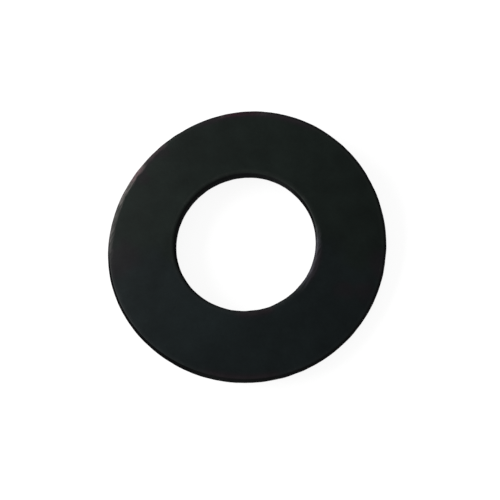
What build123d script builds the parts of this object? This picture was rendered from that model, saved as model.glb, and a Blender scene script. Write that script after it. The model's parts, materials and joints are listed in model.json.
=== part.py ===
from build123d import *
import os
from math import cos, sin, tan, pi

# Saddle spring washer for a 10 mm bolt: one round blank of spring steel with a central hole, curved about
# one line across its middle. It lies on its two low ends, with the crest of the arch up.
#
# Millimetres. The origin is on the bolt's axis, at the level that the washer rests on. +Z is up along the
# bolt, the crest runs along Y, and the sheet curves down towards +X and -X.

# Driving dimensions.
outer_diameter = 21.0  # of the blank, before it is curved
hole_diameter = 10.5  # clearance hole for a 10 mm bolt, round as the bolt sees it
thickness = 1.0
free_height = 2.1  # from the resting level to the top of the crest, with no load
top_edge_radius = 0.3  # rolled edges of the convex face
bottom_edge_radius = 0.2  # tumbled edges of the hollow face

# How the shape is cut out: nothing below changes its size.
overrun = 1.0  # the cutting bodies pass this far beyond the sheet, so that no two faces coincide
rim_points = 48  # the rim's smooth curve passes through this many points
flattest_radius = 1000 * outer_diameter  # the search for the curve's radius starts from here
exactness = 1e-9


def height_when_curved(middle_radius):
    """Free height of the washer when the middle of its sheet is curved to this radius."""
    end_slope = outer_diameter / 2 / middle_radius
    sheet_drop = (middle_radius - thickness / 2) * (1 - cos(end_slope))
    lost_to_rounding = bottom_edge_radius * (cos(end_slope) + sin(end_slope) - 1)
    return thickness + sheet_drop - lost_to_rounding


def radius_for_free_height():
    """Radius of the middle of the sheet, found by halving an interval until the height is right."""
    tight, gentle = outer_diameter / 2, flattest_radius
    while gentle - tight > exactness:
        between = (tight + gentle) / 2
        if height_when_curved(between) > free_height:
            tight = between
        else:
            gentle = between
    return gentle


sheet_radius = radius_for_free_height()
curve_axis_height = free_height - thickness / 2 - sheet_radius


def curved_sheet():
    """A tube about the line that the sheet is curved around. The washer is a patch of its top."""
    section = Circle(sheet_radius + thickness / 2) - Circle(sheet_radius - thickness / 2)
    across_the_curve = Plane((0, 0, curve_axis_height), x_dir=(1, 0, 0), z_dir=(0, -1, 0))
    return extrude(across_the_curve * section, amount=outer_diameter / 2 + overrun, both=True)


def rim_section(height):
    """Level section of the rim. The round blank keeps its edge square to the sheet as it is curved, so every
    straight line of that edge points away from the curve's axis."""
    reach = height - curve_axis_height
    points = []
    for step in range(rim_points):
        turn = 2 * pi * step / rim_points
        along_sheet = outer_diameter / 2 * cos(turn)
        across_sheet = outer_diameter / 2 * sin(turn)
        points.append((reach * tan(along_sheet / sheet_radius), across_sheet))
    return Plane((0, 0, height)) * make_face(Spline(*points, periodic=True))


def rim_block():
    """The solid inside the rim, from below the resting level to above the crest."""
    return loft([rim_section(-overrun), rim_section(free_height + overrun)], ruled=True)


def bolt_hole():
    """The hole runs straight along the bolt's axis."""
    return Pos(0, 0, free_height / 2) * Cylinder(hole_diameter / 2, free_height + 2 * overrun)


def sheet_faces(washer):
    """The hollow face and the convex face. Both curve more gently than the hole's wall."""
    round_faces = washer.faces().filter_by(GeomType.CYLINDER).sort_by(SortBy.RADIUS)
    return round_faces[1], round_faces[2]


def saddle_washer():
    washer = (curved_sheet() & rim_block()) - bolt_hole()
    hollow_face, convex_face = sheet_faces(washer)
    washer = fillet(convex_face.edges(), top_edge_radius)
    hollow_face, convex_face = sheet_faces(washer)
    return fillet(hollow_face.edges(), bottom_edge_radius)


os.makedirs("parts", exist_ok=True)
washer = saddle_washer()
export_step(washer, "parts/saddle_washer.step")

size = washer.bounding_box().size
print("radius of the middle of the sheet", round(sheet_radius, 3))
print("size", round(size.X, 3), round(size.Y, 3), round(size.Z, 3))
print("solids", len(washer.solids()))
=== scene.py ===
# %% [markdown]
# # A saddle spring washer
# The object is one round blank of spring steel with a hole for a 10 mm bolt, curved about one line across
# its middle and blackened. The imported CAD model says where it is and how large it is. This file models
# its visible surface again, with the marks that punching and tumbling leave on the edges, and gives it
# its finish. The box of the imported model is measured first, while nothing else is in the scene.

# %% Load the frame
import json
from math import cos, degrees, hypot, pi, radians, sin

import bpy
from mathutils import Matrix, Vector


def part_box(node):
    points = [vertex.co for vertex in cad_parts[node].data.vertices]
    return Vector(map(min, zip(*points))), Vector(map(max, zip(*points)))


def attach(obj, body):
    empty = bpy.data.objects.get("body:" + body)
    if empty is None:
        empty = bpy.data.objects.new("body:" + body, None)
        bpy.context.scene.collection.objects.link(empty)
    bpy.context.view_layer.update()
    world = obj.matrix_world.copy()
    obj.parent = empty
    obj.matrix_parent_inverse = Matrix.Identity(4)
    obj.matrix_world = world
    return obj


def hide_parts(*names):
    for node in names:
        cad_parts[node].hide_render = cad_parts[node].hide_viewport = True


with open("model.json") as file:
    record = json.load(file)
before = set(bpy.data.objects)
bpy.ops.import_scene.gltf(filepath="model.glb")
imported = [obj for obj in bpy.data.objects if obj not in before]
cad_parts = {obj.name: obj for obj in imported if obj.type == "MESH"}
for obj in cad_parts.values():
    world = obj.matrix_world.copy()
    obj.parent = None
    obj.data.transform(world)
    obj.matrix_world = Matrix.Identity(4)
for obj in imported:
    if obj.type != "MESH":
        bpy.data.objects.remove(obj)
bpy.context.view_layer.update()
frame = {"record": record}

# %% [markdown]
# ## Sizes
# The outline, the height and the hole come from the frame. The rest is what a punched and tumbled washer
# of this size has: a sheet 1 mm thick, a soft roll along the edges of the convex face and a smaller
# rounding along the edges of the hollow one.

# %% Sizes
mm = 0.001
low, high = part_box("saddle_washer")
outer_radius = (high.y - low.y) / 2
free_height = high.z - low.z
hole_radius = frame["record"]["mounts"][0]["dims"]["r_mm"] * mm
thickness = 1.0 * mm
top_roll = 0.3 * mm
bottom_roll = 0.2 * mm
print("radius of the rim and of the hole, mm", round(outer_radius / mm, 3), round(hole_radius / mm, 3))

# %% [markdown]
# The curve of the sheet isn't free: it is the one curve that gives the washer its height. No plain
# formula leads from the height to the curve, so the script guesses the slope of the low ends and corrects
# it a few dozen times. Each correction scales the guess by how far the height is off.

# %% Find the curve of the sheet
first_guess = 0.3
corrections = 40


def height_with_slope(slope):
    """Height of the washer when its low ends slope by this angle."""
    hollow_radius = outer_radius / slope - thickness / 2
    rounding = bottom_roll * (cos(slope) + sin(slope) - 1)
    return thickness + hollow_radius * (1 - cos(slope)) - rounding


end_slope = first_guess
for _ in range(corrections):
    end_slope *= (free_height - thickness) / (height_with_slope(end_slope) - thickness)
sheet_radius = outer_radius / end_slope
print("curve of the sheet, mm", round(sheet_radius / mm, 3))
print("height with that curve, mm", round(height_with_slope(end_slope) / mm, 3))

# %% [markdown]
# ## Selection helpers
# Operators act on what is selected, and loading the frame leaves its parts selected. So each step starts
# from nothing, and points are then chosen in code by where they are, which is what a box selection does
# by hand.

# %% Selection helpers
def start_from_nothing():
    bpy.ops.object.select_all(action="DESELECT")


def work_on(piece):
    """Select this piece alone and make it the active one."""
    start_from_nothing()
    bpy.context.view_layer.objects.active = piece
    piece.select_set(True)


def edit_points(piece, chosen):
    """Open the piece for editing with only the points selected for which chosen(place) is true."""
    work_on(piece)
    bpy.ops.object.mode_set(mode="EDIT")
    bpy.ops.mesh.select_mode(type="VERT")
    bpy.ops.mesh.select_all(action="DESELECT")
    bpy.ops.object.mode_set(mode="OBJECT")
    for vertex in piece.data.vertices:
        vertex.select = chosen(vertex.co)
    bpy.ops.object.mode_set(mode="EDIT")


def close_edit():
    bpy.ops.mesh.select_all(action="DESELECT")
    bpy.ops.object.mode_set(mode="OBJECT")


# %% [markdown]
# ## The section of the sheet
# Cut through the ring on one side and the steel shows a long thin rectangle with rounded corners. A plane
# is that rectangle, and bevelling its corner points rounds them. The alternative, a flat ring with
# bevelled rims, gives the same corners but far less say over where its points lie, and this ring has to
# bend smoothly later on.

# %% Draw the section
sheet_width = outer_radius - hole_radius
middle_of_width = (outer_radius + hole_radius) / 2
half_thickness = thickness / 2
near_enough = 0.001 * mm
top_segments = 10
bottom_segments = 8

start_from_nothing()
bpy.ops.mesh.primitive_plane_add(size=1)
washer = bpy.context.object
washer.name = "spring_washer"
washer.data.name = "spring_washer"
bpy.ops.transform.resize(value=(sheet_width, thickness, 1))
bpy.ops.transform.translate(value=(middle_of_width, 0, 0))
bpy.ops.object.transform_apply(location=True, rotation=True, scale=True)

for side, roll, segments in ((1, top_roll, top_segments), (-1, bottom_roll, bottom_segments)):
    edit_points(washer, lambda place: abs(place.y - side * half_thickness) < near_enough)
    bpy.ops.mesh.bevel(offset=roll, segments=segments, profile=0.5, affect="VERTICES")
    close_edit()
print("points in the rounded section", len(washer.data.vertices))

# %% [markdown]
# The two long sides become many short ones, because a face only bends where it has points. The two short
# sides are the punched walls, and they need a few points for the next step. Then the filled face goes,
# and only the outline is left to be swept.

# %% Divide the long sides and the walls
face_cuts = 27
wall_cuts = 7

for side in (1, -1):
    edit_points(washer, lambda place: abs(place.y - side * half_thickness) < near_enough)
    bpy.ops.mesh.subdivide(number_cuts=face_cuts)
    close_edit()
for wall_radius in (hole_radius, outer_radius):
    edit_points(washer, lambda place: abs(place.x - wall_radius) < near_enough)
    bpy.ops.mesh.subdivide(number_cuts=wall_cuts)
    close_edit()
edit_points(washer, lambda place: True)
bpy.ops.mesh.delete(type="ONLY_FACE")
close_edit()
print("points in the divided section", len(washer.data.vertices))

# %% [markdown]
# ## How a punch cuts steel
# A punch shears the sheet cleanly for the first part of the way, and then the rest tears off. On the edge
# that is a smooth land above a slightly smaller, rougher band. The points below the land move into the
# steel by about a hundredth of a millimetre, which is enough to catch the light as a fine line round the
# edge. Heights are counted from the middle of the sheet.

# %% Step the walls in below the sheared land
land_bottom = 0.02 * mm
tear_depth = 0.012 * mm
wall_zone = max(top_roll, bottom_roll)

for wall_radius, inward in ((hole_radius, 1), (outer_radius, -1)):
    edit_points(washer, lambda place: place.y < land_bottom and abs(place.x - wall_radius) < wall_zone)
    bpy.ops.transform.translate(value=(inward * tear_depth, 0, 0))
    close_edit()
torn_reach = max(vertex.co.x for vertex in washer.data.vertices if vertex.co.y < land_bottom)
print("radius of the rim below the land, mm", round(torn_reach / mm, 3))

# %% [markdown]
# ## Turn the section into a ring
# Spin sweeps the section once round an axis. Y is the axis here, because the bend that comes later works
# in the plane of X and Y. The last copy lands on the first, so doubles are merged, and then the normals
# are made to point outwards: spin can leave them either way round.

# %% Spin the ring
turn_steps = 400

edit_points(washer, lambda place: True)
bpy.ops.mesh.spin(steps=turn_steps, angle=2 * pi, center=(0, 0, 0), axis=(0, 1, 0))
bpy.ops.mesh.select_all(action="SELECT")
bpy.ops.mesh.remove_doubles(threshold=near_enough)
bpy.ops.mesh.normals_make_consistent(inside=False)
close_edit()
print("flat ring:", len(washer.data.vertices), "points,", len(washer.data.polygons), "faces")

# %% [markdown]
# ## Two skins
# The faces lay against the tools and are smooth. The cut walls were torn and tumbled and stay matt, and
# so does the outer part of each rolled edge, more of it at the rim than at the hole. They get a slot of
# their own now, while the ring is still flat and a wall is simply everything that lies close to one of
# its two radii.

# %% Give the walls their own slot
matt_at_rim = 0.24 * mm
matt_at_hole = 0.14 * mm


def reach_of(place):
    """Distance from the bolt's axis."""
    return hypot(place.x, place.z)


def is_matt(place):
    return reach_of(place) < hole_radius + matt_at_hole or reach_of(place) > outer_radius - matt_at_rim


edit_points(washer, is_matt)
bpy.ops.object.material_slot_add()
bpy.ops.object.material_slot_add()
bpy.ops.object.material_slot_assign()
close_edit()
print("faces in the wall slot", sum(face.material_index == 1 for face in washer.data.polygons))

# %% [markdown]
# ## Remember the flat blank
# The finish belongs to the sheet and bends with it: torn steel stays on the wall, and a worn rim stays on
# the rim. So every point keeps the place it has now in an attribute called blank, in millimetres, with Z
# as the thickness. The material reads that place instead of the place in space, which the bend is about
# to change.

# %% Keep each point's place in the blank
blank = washer.data.attributes.new(name="blank", type="FLOAT_VECTOR", domain="POINT")
for vertex, kept in zip(washer.data.vertices, blank.data):
    kept.vector = (vertex.co.x / mm, -vertex.co.z / mm, vertex.co.y / mm)
print("blank radius, mm", round(max(hypot(kept.vector.x, kept.vector.y) for kept in blank.data), 3))

# %% [markdown]
# ## Knocks from the tumbling drum
# Washers are tumbled together by the thousand, and the edges take small knocks while the faces stay
# nearly flat. A Displace modifier with a cloud texture does that. Its middle level is the middle grey of
# the texture, so it raises as much as it sinks and the washer keeps its size, and a vertex group keeps
# it strongest along the edges.

# %% Dent the edges
knock_depth = 0.03 * mm
knock_size = 0.9 * mm
knock_contrast = 1.6
knocked_width = 0.6 * mm
knock_on_face = 0.12

edges = washer.vertex_groups.new(name="edges")
for vertex in washer.data.vertices:
    from_wall = min(reach_of(vertex.co) - hole_radius, outer_radius - reach_of(vertex.co))
    edges.add([vertex.index], max(1 - from_wall / knocked_width, knock_on_face), "REPLACE")

clouds = bpy.data.textures.new("knocks", "CLOUDS")
clouds.noise_scale = knock_size
clouds.noise_depth = 2
clouds.contrast = knock_contrast

work_on(washer)
knocks = washer.modifiers.new("knocks", "DISPLACE")
knocks.texture = clouds
knocks.texture_coords = "LOCAL"
knocks.vertex_group = edges.name
knocks.mid_level = 0.5
knocks.strength = knock_depth
bpy.ops.object.modifier_apply(modifier=knocks.name)
heights = [vertex.co.y for vertex in washer.data.vertices]
print("thickness over the knocks, mm", round((max(heights) - min(heights)) / mm, 3))

# %% [markdown]
# ## Keep the hole upright
# The bolt passes straight through, so the hole's wall has to stand upright in the finished washer, while
# the bend is about to lean it outwards along X. So it leans the other way first: Simple Deform's taper
# narrows the upper side of the sheet by as much as the bend will widen it. A vertex group lets the taper
# die away from the hole to the rim, and the bend's own axis, Z, is locked, because nothing leans that
# way.

# %% Lean the wall of the hole inwards
near_hole = washer.vertex_groups.new(name="near_hole")
for vertex in washer.data.vertices:
    near_hole.add([vertex.index], min(1, (outer_radius - reach_of(vertex.co)) / sheet_width), "REPLACE")

lean = washer.modifiers.new("lean", "SIMPLE_DEFORM")
lean.deform_method = "TAPER"
lean.deform_axis = "Y"
lean.lock_z = True
lean.vertex_group = near_hole.name
lean.factor = -thickness / sheet_radius
bpy.ops.object.modifier_apply(modifier=lean.name)
narrowest = min(reach_of(vertex.co) for vertex in washer.data.vertices)
print("narrowest radius of the leaning hole, mm", round(narrowest / mm, 3))

# %% [markdown]
# ## Curve the blank
# A press bends the blank round one line across its middle, so the washer becomes a piece of a tube: high
# along that line and low at the two ends across it. Simple Deform does exactly this, and it keeps the
# middle of the sheet at its length, as steel does. A negative angle puts the crest on top.

# %% Bend the ring
bend = washer.modifiers.new("press", "SIMPLE_DEFORM")
bend.deform_method = "BEND"
bend.deform_axis = "Z"
bend.angle = -2 * outer_radius / sheet_radius
bpy.ops.object.modifier_apply(modifier=bend.name)
lengths = [vertex.co.x for vertex in washer.data.vertices]
print("length across the arch, mm", round((max(lengths) - min(lengths)) / mm, 3))

# %% [markdown]
# The ring was built lying in X and Z, so it is turned flat and lifted until its two low ends stand on the
# floor. Both moves are applied, which puts the place in the mesh and leaves the object at the origin.

# %% Lay the washer down
lowest = min(vertex.co.y for vertex in washer.data.vertices)
washer.rotation_euler = (radians(90), 0, 0)
washer.location = (0, 0, -lowest)
bpy.ops.object.transform_apply(location=True, rotation=True, scale=True)
bpy.ops.object.shade_smooth()
print("washer height, mm", round(max(vertex.co.z for vertex in washer.data.vertices) / mm, 3))

# %% [markdown]
# ## Node helpers
# A material is a small network of nodes. Wiring it by hand in code takes three or four lines for each
# node, which hides what the network does. So one helper adds a node with its settings, sets or links its
# inputs, and hands back the output that the next node reads. The others are short words for the kinds of
# node that are used most.

# %% Helpers that add a node
def fill_in(tree, made, inputs):
    """Link every input that is given a node's output, and set the others."""
    for socket, value in inputs.items():
        if isinstance(value, bpy.types.NodeSocket):
            tree.links.new(value, made.inputs[socket])
        else:
            made.inputs[socket].default_value = value


def node(material, kind, inputs, output=0, **settings):
    """Add a node and return one of its outputs."""
    tree = material.node_tree
    made = tree.nodes.new(kind)
    for name, value in settings.items():
        setattr(made, name, value)
    fill_in(tree, made, inputs)
    return made.outputs[output]


def maths(material, operation, first, second=0.0, third=0.0, use_clamp=False):
    inputs = {0: first, 1: second, 2: third}
    return node(material, "ShaderNodeMath", inputs, operation=operation, use_clamp=use_clamp)


def vector_maths(material, operation, first, second=(0, 0, 0), output=0):
    inputs = {0: first, 1: second}
    return node(material, "ShaderNodeVectorMath", inputs, output=output, operation=operation)


# %% [markdown]
# The finish is made of a few simple ideas, and each of them is one node: a noise, a noise spread about a
# middle value, a fade from one distance to another, a colour made lighter or darker, and one colour laid
# over another.

# %% Helpers for noises, fades and colours
def cloud(material, place, scale, detail, roughness=0.5):
    """Soft noise from 0 to 1 with features about 1/scale wide, in the units of the place."""
    inputs = {"Vector": place, "Scale": scale, "Detail": detail, "Roughness": roughness}
    return node(material, "ShaderNodeTexNoise", inputs)


def spread(material, noise, middle, width):
    """The noise, spread over this width about this middle value instead of from 0 to 1."""
    return maths(material, "MULTIPLY_ADD", noise, width, middle - width / 2)


def fade(material, value, start, end):
    """1 where the value is at start, fading smoothly to 0 where it is at end."""
    inputs = {"Value": value, "From Min": start, "From Max": end, "To Min": 1.0, "To Max": 0.0}
    return node(material, "ShaderNodeMapRange", inputs, interpolation_type="SMOOTHSTEP")


def shade(material, colour, value):
    """The colour made lighter or darker by the value."""
    return node(material, "ShaderNodeVectorMath", {0: colour, "Scale": value}, operation="SCALE")


def blend(material, amount, first, second):
    """The first colour where the amount is 0, the second where it is 1."""
    return node(material, "ShaderNodeMix", {0: amount, 6: first, 7: second}, output=2, data_type="RGBA")


# %% [markdown]
# ## Places in the blank
# Every part of the finish depends on where a point lies in the blank: its place, and how far it is from
# the nearest cut wall. Places on the face are given the way a washer is measured, as a turn about the
# bolt in degrees and a reach from it in millimetres. A patch is then a ball round such a place that fades
# towards its border, and a noise added to the distance makes that border ragged.

# %% Places in the blank
def measure(material):
    """The place in the blank, in mm, and its distance from the nearest cut wall."""
    place = node(material, "ShaderNodeAttribute", {}, output=1, attribute_name="blank")
    across = vector_maths(material, "MULTIPLY", place, (1, 1, 0))
    radius = vector_maths(material, "LENGTH", across, output=1)
    from_hole = maths(material, "SUBTRACT", radius, hole_radius / mm)
    from_rim = maths(material, "SUBTRACT", outer_radius / mm, radius)
    return place, maths(material, "MINIMUM", from_hole, from_rim)


def height_in(material, place):
    """How high the place is above the middle of the sheet."""
    return node(material, "ShaderNodeSeparateXYZ", {0: place}, output=2)


def patch(material, place, turn, reach, full, gone, ragged=0.0):
    """1 up to the distance full from a place on the face, 0 from the distance gone on."""
    middle = (reach * cos(radians(turn)), reach * sin(radians(turn)), half_thickness / mm)
    away = vector_maths(material, "DISTANCE", place, middle, output=1)
    return fade(material, maths(material, "ADD", away, ragged), full, gone)


# %% [markdown]
# ## Blackened spring steel
# Hot alkaline blackening turns the skin of the steel into a very thin layer of dark iron oxide, sealed
# with a little oil. It is nearly black and satin, but never one colour. One half of this washer is a
# green-black and the other a blue-black, because washers lie half over each other in the basket and the
# bath reaches them unevenly. Both are linear values near 0.01: anything lighter would read as grey under
# a studio light. A broad noise pushes the border between them about, so that it isn't a straight line.

# %% Two blacks
green_black = (0.0069, 0.0104, 0.0088, 1)
blue_black = (0.0067, 0.0100, 0.0106, 1)
greener_side = (0.485, -0.875, 0)
border_wander = 8.0


def two_blacks(material, place):
    """Green-black on one side of the washer and blue-black on the other."""
    side = vector_maths(material, "DOT_PRODUCT", place, greener_side, output=1)
    drift = cloud(material, place, scale=0.25, detail=3.0)
    side = maths(material, "ADD", side, spread(material, drift, middle=0.0, width=border_wander))
    return blend(material, fade(material, side, start=-2.0, end=-0.4), green_black, blue_black)


# %% [markdown]
# Where two washers touched in the bath, a plum stain is left, mostly along an edge. A stain is listed as
# its turn, its reach and its size. Spots are laid on the face as they are, and stains of the edges are
# kept to the last half millimetre or so.

# %% Plum stains
plum_black = (0.0112, 0.0092, 0.0112, 1)
plum_spots = (
    (-19, 10.1, 0.9),
    (-6, 10.0, 0.8),
    (36, 9.6, 2.0),
    (183, 8.3, 1.1),
    (187, 9.3, 1.1),
    (199, 10.2, 1.3),
)
plum_edges = (
    (-75, 10.5, 3.6),
    (-50, 10.5, 2.6),
    (-14, 10.5, 2.2),
    (118, 10.5, 3.4),
    (128, 5.3, 2.2),
    (189, 5.3, 1.6),
)
edge_core = 0.5
spot_core = 0.3
spot_strength = 0.6


def plum(material, place, from_edge, ragged):
    """How much of a plum stain shows, from 0 to 1."""
    stained = 0.0
    for turn, reach, size in plum_edges:
        stain = patch(material, place, turn, reach, edge_core * size, size, ragged)
        stained = maths(material, "MAXIMUM", stained, stain)
    stained = maths(material, "MULTIPLY", stained, fade(material, from_edge, start=0.3, end=0.8))
    for turn, reach, size in plum_spots:
        stain = patch(material, place, turn, reach, spot_core * size, size, ragged)
        stain = maths(material, "MULTIPLY", stain, spot_strength)
        stained = maths(material, "MAXIMUM", stained, stain)
    return stained


print("plum stains", len(plum_edges) + len(plum_spots))

# %% [markdown]
# The oxide is the two blacks with the stains over them. An oxide of even brightness looks like paint, so
# a mottle and a fine grain shift its value. Besides, one place is made a little lighter and one darker:
# painted light and painted shade, which move where the softbox's light seems to fall on the face. Those
# two are listed as turn, reach, where they are full, where they are gone, and by how much.

# %% Oxide with painted light and shade
# Painted light and painted shade: one place on the face lighter and one darker.
painted_light_and_shade_places = (
    (92, 6.7, 0.8, 3.2, 0.25),
    (-39, 8.0, 1.5, 5.0, -0.15),
)
ragged_width = 2.4
mottle_width = 1.0
grain_width = 0.5


def oxide_with_painted_light_and_shade(material, place, from_edge, mottle, grain):
    """The drifting black of the oxide layer, with one patch of painted light and one of painted shade."""
    ragged = spread(material, mottle, middle=0.0, width=ragged_width)
    stained = plum(material, place, from_edge, ragged)
    colour = blend(material, stained, two_blacks(material, place), plum_black)

    value = spread(material, mottle, middle=1.0, width=mottle_width)
    speckle = spread(material, grain, middle=1.0, width=grain_width)
    value = maths(material, "MULTIPLY", value, speckle)
    # One place is lightened and one darkened here: painted light and painted shade.
    for turn, reach, full, gone, more in painted_light_and_shade_places:
        spot = patch(material, place, turn, reach, full, gone, ragged)
        value = maths(material, "MULTIPLY", value, maths(material, "MULTIPLY_ADD", spot, more, 1.0))
    return shade(material, colour, value)


# %% [markdown]
# ## Rubbed edges and painted highlights
# Handling rubs the oxide off an edge first. Here it is thin on the upper edge of the rim at the low end
# that faces the softbox, where a little rust has started. That light band is partly rubbed steel and
# partly a painted highlight of the softbox on the rolled edge, and a weaker painted highlight runs on
# from it along the rim. Along the hole on the opposite side a violet-grey band is a painted highlight
# where the hole's rolled edge faces the softbox. Between them a stretch of the rim only has a wine-red
# tinge. Each place is listed as its turn, its reach, where it is full, where it is gone, how bare it gets
# or how strong its highlight is, and the colour that shows.

# %% Where the edges are rubbed and where highlights are painted
# The light steel grey is rubbed steel and also the colour of the painted highlights on the rim.
worn_steel_and_highlight = (0.115, 0.106, 0.101, 1)
rusty_brown = (0.118, 0.084, 0.088, 1)
wine_red = (0.050, 0.012, 0.022, 1)
# Violet grey: the colour of a painted highlight on the hole's rolled edge.
violet_grey_painted_highlight = (0.100, 0.096, 0.116, 1)
rubbed_and_highlight_places = (
    # Partly rubbed steel, partly a painted highlight of the softbox on the rim's rolled edge.
    (1, 10.5, 1.4, 2.7, 1.00, worn_steel_and_highlight),
    # A painted highlight: the softbox's line running on, weaker, along the rim's rolled edge.
    (15, 10.5, 1.6, 4.4, 0.42, worn_steel_and_highlight),
    (-5, 10.5, 0.4, 1.2, 0.95, rusty_brown),
    (-18, 10.5, 0.5, 1.5, 0.28, rusty_brown),
    (-59, 10.5, 0.7, 2.5, 0.34, wine_red),
    # A painted highlight where the hole's rolled edge faces the softbox.
    (193, 5.4, 1.4, 3.4, 0.26, violet_grey_painted_highlight),
)


def rubbed_and_highlight_spots(material, place):
    """How bare the steel gets here and how strong a painted highlight is, 0 to 1, and the colour shown.
    """
    bare_and_highlight = 0.0
    shown = worn_steel_and_highlight
    for turn, reach, full, gone, most, colour in rubbed_and_highlight_places:
        spot = patch(material, place, turn, reach, full, gone)
        shown = blend(material, spot, shown, colour)
        bare_and_highlight = maths(material, "MAXIMUM", bare_and_highlight, maths(material, "MULTIPLY", spot, most))
    return bare_and_highlight, shown


# The count takes in the painted highlights as well as the rubbed places.
print("rubbed places", len(rubbed_and_highlight_places))

# %% [markdown]
# Only a narrow band along the edge is rubbed, and the painted highlights lie in the same band. An even
# band would look like a painted stripe, so its inner border is ragged and fine scratches run through it.
# Both come from noises stretched along Y, which is the way that the edge runs at the low ends. The band
# stops at the foot of the rolled edge: the wall below is out of a finger's reach.

# %% Rubbed edges and painted highlights
wear_and_highlight_stretch = (2.4, 0.8, 2.4)
line_stretch = (9.0, 0.6, 9.0)
roll_foot = (half_thickness - top_roll) / mm
wear_and_highlight_from = roll_foot + 0.04
wear_and_highlight_full = roll_foot + 0.12


def stretched(material, place, stretch):
    """The place with each of its axes scaled, which stretches a noise along the smallest."""
    return node(material, "ShaderNodeMapping", {"Vector": place, "Scale": stretch})


def rubbed_and_highlight(material, place, from_edge):
    """How bare the steel is and how strong a painted highlight is, 0 to 1, and the colour that shows
    there.
    """
    bare_and_highlight, shown = rubbed_and_highlight_spots(material, place)
    along = stretched(material, place, wear_and_highlight_stretch)
    wear_and_highlight_noise = cloud(material, along, scale=1.0, detail=4.0, roughness=0.65)
    along = stretched(material, place, line_stretch)
    lines = cloud(material, along, scale=1.0, detail=2.0)

    ragged = spread(material, wear_and_highlight_noise, middle=0.0, width=0.6)
    band = fade(material, maths(material, "ADD", from_edge, ragged), start=0.34, end=0.52)
    band = maths(material, "MULTIPLY", band, spread(material, wear_and_highlight_noise, middle=0.8, width=3.0))
    band = maths(material, "MULTIPLY", band, spread(material, lines, middle=0.9, width=3.0))
    above_wall = fade(material, height_in(material, place), start=wear_and_highlight_full, end=wear_and_highlight_from)
    band = maths(material, "MULTIPLY", band, above_wall)
    return maths(material, "MULTIPLY", bare_and_highlight, band, use_clamp=True), shown


# %% [markdown]
# ## Finish of the faces
# The oxide is satin: its gloss is weak and broad, so the specular level is far below that of a varnish.
# Its network starts with the places and with the two noises that everything else reads: a mottle about
# two millimetres wide and a grain about a tenth of a millimetre wide.

# %% Start the finish of the faces
grain_look = {"scale": 9.0, "detail": 3.0, "roughness": 0.6}


def new_finish(name):
    material = bpy.data.materials.new(name)
    material.use_nodes = True
    return material


steel = new_finish("blackened_steel")
place, from_edge = measure(steel)
mottle = cloud(steel, place, scale=0.55, detail=4.0, roughness=0.6)
grain = cloud(steel, place, **grain_look)
print("nodes so far", len(steel.node_tree.nodes))

# %% [markdown]
# The drum has knocked the oxide off in a few specks. An even faint share of bare steel along all edges is
# partly a little burnish at the foot of the rolled edges and partly a painted highlight along that foot.
# Both are nearly nothing compared with the rubbed places and painted highlights, so they are small shares
# of bare steel, kept to the edges, and wherever the two overlap the larger one holds.

# %% Bare steel and painted highlight on the faces
knock_bare = 0.04
# Partly burnish, partly a painted highlight along the foot of the rolled edges.
burnish_and_highlight_bare = 0.024

bare_and_highlight, metal_and_highlight_colour = rubbed_and_highlight(steel, place, from_edge)
specks = fade(steel, cloud(steel, place, scale=1.7, detail=4.0, roughness=0.65), start=0.66, end=0.54)
knocks_and_highlight = maths(steel, "MULTIPLY_ADD", specks, knock_bare, burnish_and_highlight_bare)
knocks_and_highlight = maths(steel, "MULTIPLY", knocks_and_highlight, fade(steel, from_edge, start=0.30, end=0.50))
bare_and_highlight = maths(steel, "MAXIMUM", bare_and_highlight, knocks_and_highlight)
print("nodes so far", len(steel.node_tree.nodes))

# %% [markdown]
# Bare steel is a metal, but dull and dirty here, so it is only partly metallic. The mottle and the grain
# vary the roughness as well as the colour, so that a lighter place is also a little duller. The grain is
# also the relief: a few thousandths of a millimetre, which the light shows but the outline doesn't.

# %% Colour, gloss and relief of the faces
metal_share = 0.4
face_roughness = 0.48
mottle_roughness = 0.12
grain_roughness = 0.10
relief_strength = 0.5
relief_depth = 0.006 * mm


def coat(material, inputs):
    """Set or link inputs of the material's own shader."""
    fill_in(material.node_tree, material.node_tree.nodes["Principled BSDF"], inputs)


def relief(material, height):
    inputs = {"Strength": relief_strength, "Distance": relief_depth, "Height": height}
    return node(material, "ShaderNodeBump", inputs)


colour = blend(steel, bare_and_highlight, oxide_with_painted_light_and_shade(steel, place, from_edge, mottle, grain), metal_and_highlight_colour)
rough = spread(steel, mottle, middle=face_roughness, width=mottle_roughness)
rough = maths(steel, "ADD", rough, spread(steel, grain, middle=0.0, width=grain_roughness))
coat(steel, {
    "Base Color": colour,
    "Metallic": maths(steel, "MULTIPLY", bare_and_highlight, metal_share),
    "Roughness": rough,
    "Specular IOR Level": 0.08,
    "Normal": relief(steel, grain),
})
washer.material_slots[0].material = steel
print("nodes in the finish of the faces", len(steel.node_tree.nodes))

# %% [markdown]
# ## Finish of the cut walls
# The same oxide on torn steel looks quite different: the surface is so rough that it has no gloss left at
# all, and seen from the side it stays black while the faces shine. Its noise is stretched along the
# thickness, which gives the fine upright scores that a punch leaves. Along two stretches that face the
# softbox, one of the rim and one of the hole, the wall is darker: painted shade, listed as turn, reach,
# where it is full and where it is gone.

# %% Colour of the walls
wall_black = (0.0098, 0.0102, 0.0106)
score_stretch = (1, 1, 0.12)
score_width = 0.6
# Painted shade: two stretches of wall that face the softbox are made darker by this share.
painted_shade_share = 0.6
painted_shade_places = ((63, 10.5, 5.0, 8.2), (225, 5.3, 1.5, 4.0))

wall = new_finish("punched_wall")
place, from_edge = measure(wall)
scores = cloud(wall, stretched(wall, place, score_stretch), scale=7.0, detail=3.0)
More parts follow.
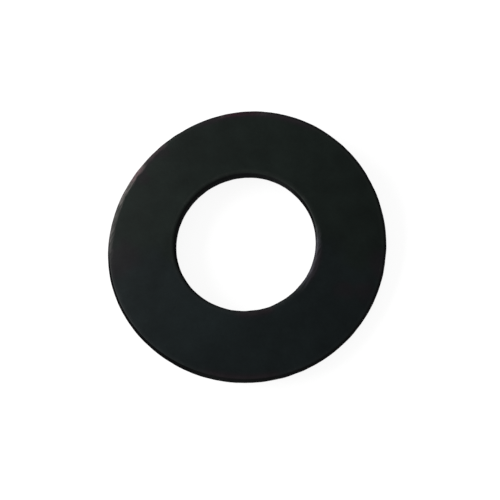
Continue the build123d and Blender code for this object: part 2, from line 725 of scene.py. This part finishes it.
# Painted shade on the walls that face the softbox.
painted_shade = 0.0
for turn, reach, full, gone in painted_shade_places:
    painted_shade = maths(wall, "MAXIMUM", painted_shade, patch(wall, place, turn, reach, full, gone))
value = spread(wall, scores, middle=1.0, width=score_width)
value = maths(wall, "MULTIPLY", value, maths(wall, "MULTIPLY_ADD", painted_shade, -painted_shade_share, 1.0))
bare_and_highlight, metal_and_highlight_colour = rubbed_and_highlight(wall, place, from_edge)
colour = blend(wall, bare_and_highlight, shade(wall, wall_black, value), metal_and_highlight_colour)
print("nodes so far", len(wall.node_tree.nodes))

# %% [markdown]
# Below the sheared land the wall was torn, and there it is rougher still. Its relief is the same fine
# grain as on the faces with the upright scores laid over it, twice as strong.

# %% Gloss and relief of the walls
land_roughness = 0.65
torn_roughness = 0.80
torn_border = 0.05
score_relief = 2.0

land_height = land_bottom / mm
torn = fade(wall, height_in(wall, place), start=land_height, end=land_height + torn_border)
rough = maths(wall, "MULTIPLY_ADD", torn, torn_roughness - land_roughness, land_roughness)
scored = maths(wall, "MULTIPLY_ADD", scores, score_relief, cloud(wall, place, **grain_look))
coat(wall, {
    "Base Color": colour,
    "Metallic": maths(wall, "MULTIPLY", bare_and_highlight, metal_share),
    "Roughness": rough,
    "Specular IOR Level": 0.0,
    "Normal": relief(wall, scored),
})
washer.material_slots[1].material = wall
print("nodes in the finish of the walls", len(wall.node_tree.nodes))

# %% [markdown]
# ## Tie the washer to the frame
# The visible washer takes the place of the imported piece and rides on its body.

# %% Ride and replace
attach(washer, "root")
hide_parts("saddle_washer")
meshes = [thing for thing in bpy.context.scene.objects if thing.type == "MESH"]
print("meshes that show", [mesh.name for mesh in meshes if not mesh.hide_render])

# %% [markdown]
# ## Camera
# The washer is seen nearly from above, from under ten centimetres, as a catalogue shows small hardware.
# The camera leans from the upright by about 17 degrees, which opens the wall of the hole on one side and
# the wall of the rim on the other. Its stand is a turn about the bolt followed by that lean, and the
# columns of the stand's matrix are the camera's right, its up and the direction towards it.

# %% Where the camera stands
view_turn = radians(151.0)
view_lean = radians(16.8)
view_side = radians(136.5)
view_distance = 94.5 * mm

crest_place = Vector((0, 0, high.z - thickness / 2))
lean_axis = Vector((-sin(view_side), cos(view_side), 0))
stand = Matrix.Rotation(view_lean, 3, lean_axis) @ Matrix.Rotation(-view_turn, 3, "Z")
right, up, towards = stand.col[0].copy(), stand.col[1].copy(), stand.col[2].copy()
camera_place = crest_place + towards * view_distance
print("camera height, mm", round(camera_place.z / mm, 1))

# %% [markdown]
# Pointing a camera with a track quaternion would leave its roll to chance. Here the crest line has to run
# slantwise through the frame, so the camera's own three axes are worked out and written into its matrix.
# It aims a little beside the middle of the crest, which puts the washer where it belongs in the frame.

# %% Camera
aim_right = 0.35 * mm
aim_down = 0.53 * mm
lens = 91.1
sensor_width = 36

aim = crest_place + right * aim_right - up * aim_down
back = (camera_place - aim).normalized()
side = (right - back * right.dot(back)).normalized()
pointing = Matrix((side, back.cross(side), back)).transposed()
camera_data = bpy.data.cameras.new("camera")
camera_data.lens = lens
camera_data.sensor_width = sensor_width
camera_data.clip_start = 1 * mm
camera_data.clip_end = 10
camera = bpy.data.objects.new("camera", camera_data)
camera.matrix_world = Matrix.Translation(camera_place) @ pointing.to_4x4()
bpy.context.collection.objects.link(camera)
bpy.context.scene.camera = camera
print("camera looks down at, degrees", round(90 - degrees(back.angle(Vector((0, 0, 1)))), 1))

# %% [markdown]
# ## Floor
# Small parts are often shown on a light table: white, with hardly a shadow. The floor is a plain disc,
# and it gives off most of its light itself. The rest is reflected, so where the washer stands over it a
# little is missing, and that faint shade is what makes the washer stand on the floor instead of floating.

# %% Floor
floor_radius = 1.5
paper_white = (0.20, 0.20, 0.20, 1)
paper_glow = 0.90

start_from_nothing()
bpy.ops.mesh.primitive_circle_add(vertices=96, radius=floor_radius, fill_type="NGON")
floor = bpy.context.object
floor.name = "floor"
paper = new_finish("white_paper")
coat(paper, {
    "Base Color": paper_white,
    "Emission Color": (1, 1, 1, 1),
    "Emission Strength": paper_glow,
    "Roughness": 0.9,
    "Specular IOR Level": 0.1,
})
floor.data.materials.append(paper)
print("floor", floor.name, "on z =", round(floor.location.z, 3))

# %% [markdown]
# ## Light
# A near-black satin surface shows the light more than its own colour, so one softbox has to do nearly all
# the drawing. It hangs low at the left of the camera's view. The end of the washer that falls away to
# that side is the lighter one, the other end is the darker one, and the rolled edges catch a thin line.
# A second lamp would be the usual way to lift the dark end, but it would put a second line on every
# rolled edge.

# %% Softbox
key_angle = radians(166)
key_rise = radians(15)
key_distance = 0.35
key_width = 0.30
key_depth = 0.24
key_power = 2.05

across = right * cos(key_angle) + up * sin(key_angle)
key_direction = across * cos(key_rise) + towards * sin(key_rise)
lamp_data = bpy.data.lights.new("key", "AREA")
lamp_data.shape = "RECTANGLE"
lamp_data.size = key_width
lamp_data.size_y = key_depth
lamp_data.energy = key_power
lamp = bpy.data.objects.new("key", lamp_data)
lamp.location = key_direction * key_distance
lamp.rotation_mode = "QUATERNION"
lamp.rotation_quaternion = key_direction.to_track_quat("Z", "Y")
bpy.context.collection.objects.link(lamp)
print("softbox height, mm", round(lamp.location.z / mm, 1))

# %% [markdown]
# A weak world fills the rest. The world is dim as a lamp and still looks white: a camera ray sees it at
# full strength, so the floor has no grey horizon in a low view. The standard view transform leaves black
# and white as they are, where a filmic one would turn both into greys.

# %% World
world_strength = 0.38

world = bpy.data.worlds.new("studio")
bpy.context.scene.world = world
world.use_nodes = True
sky = world.node_tree.nodes["Background"]
seen = node(world, "ShaderNodeLightPath", {})
dim_or_white = maths(world, "MULTIPLY_ADD", seen, 1 - world_strength, world_strength)
fill_in(world.node_tree, sky, {"Color": (1, 1, 1, 1), "Strength": dim_or_white})
bpy.context.scene.view_settings.view_transform = "Standard"
print("world as a lamp, share of what it shows", world_strength)
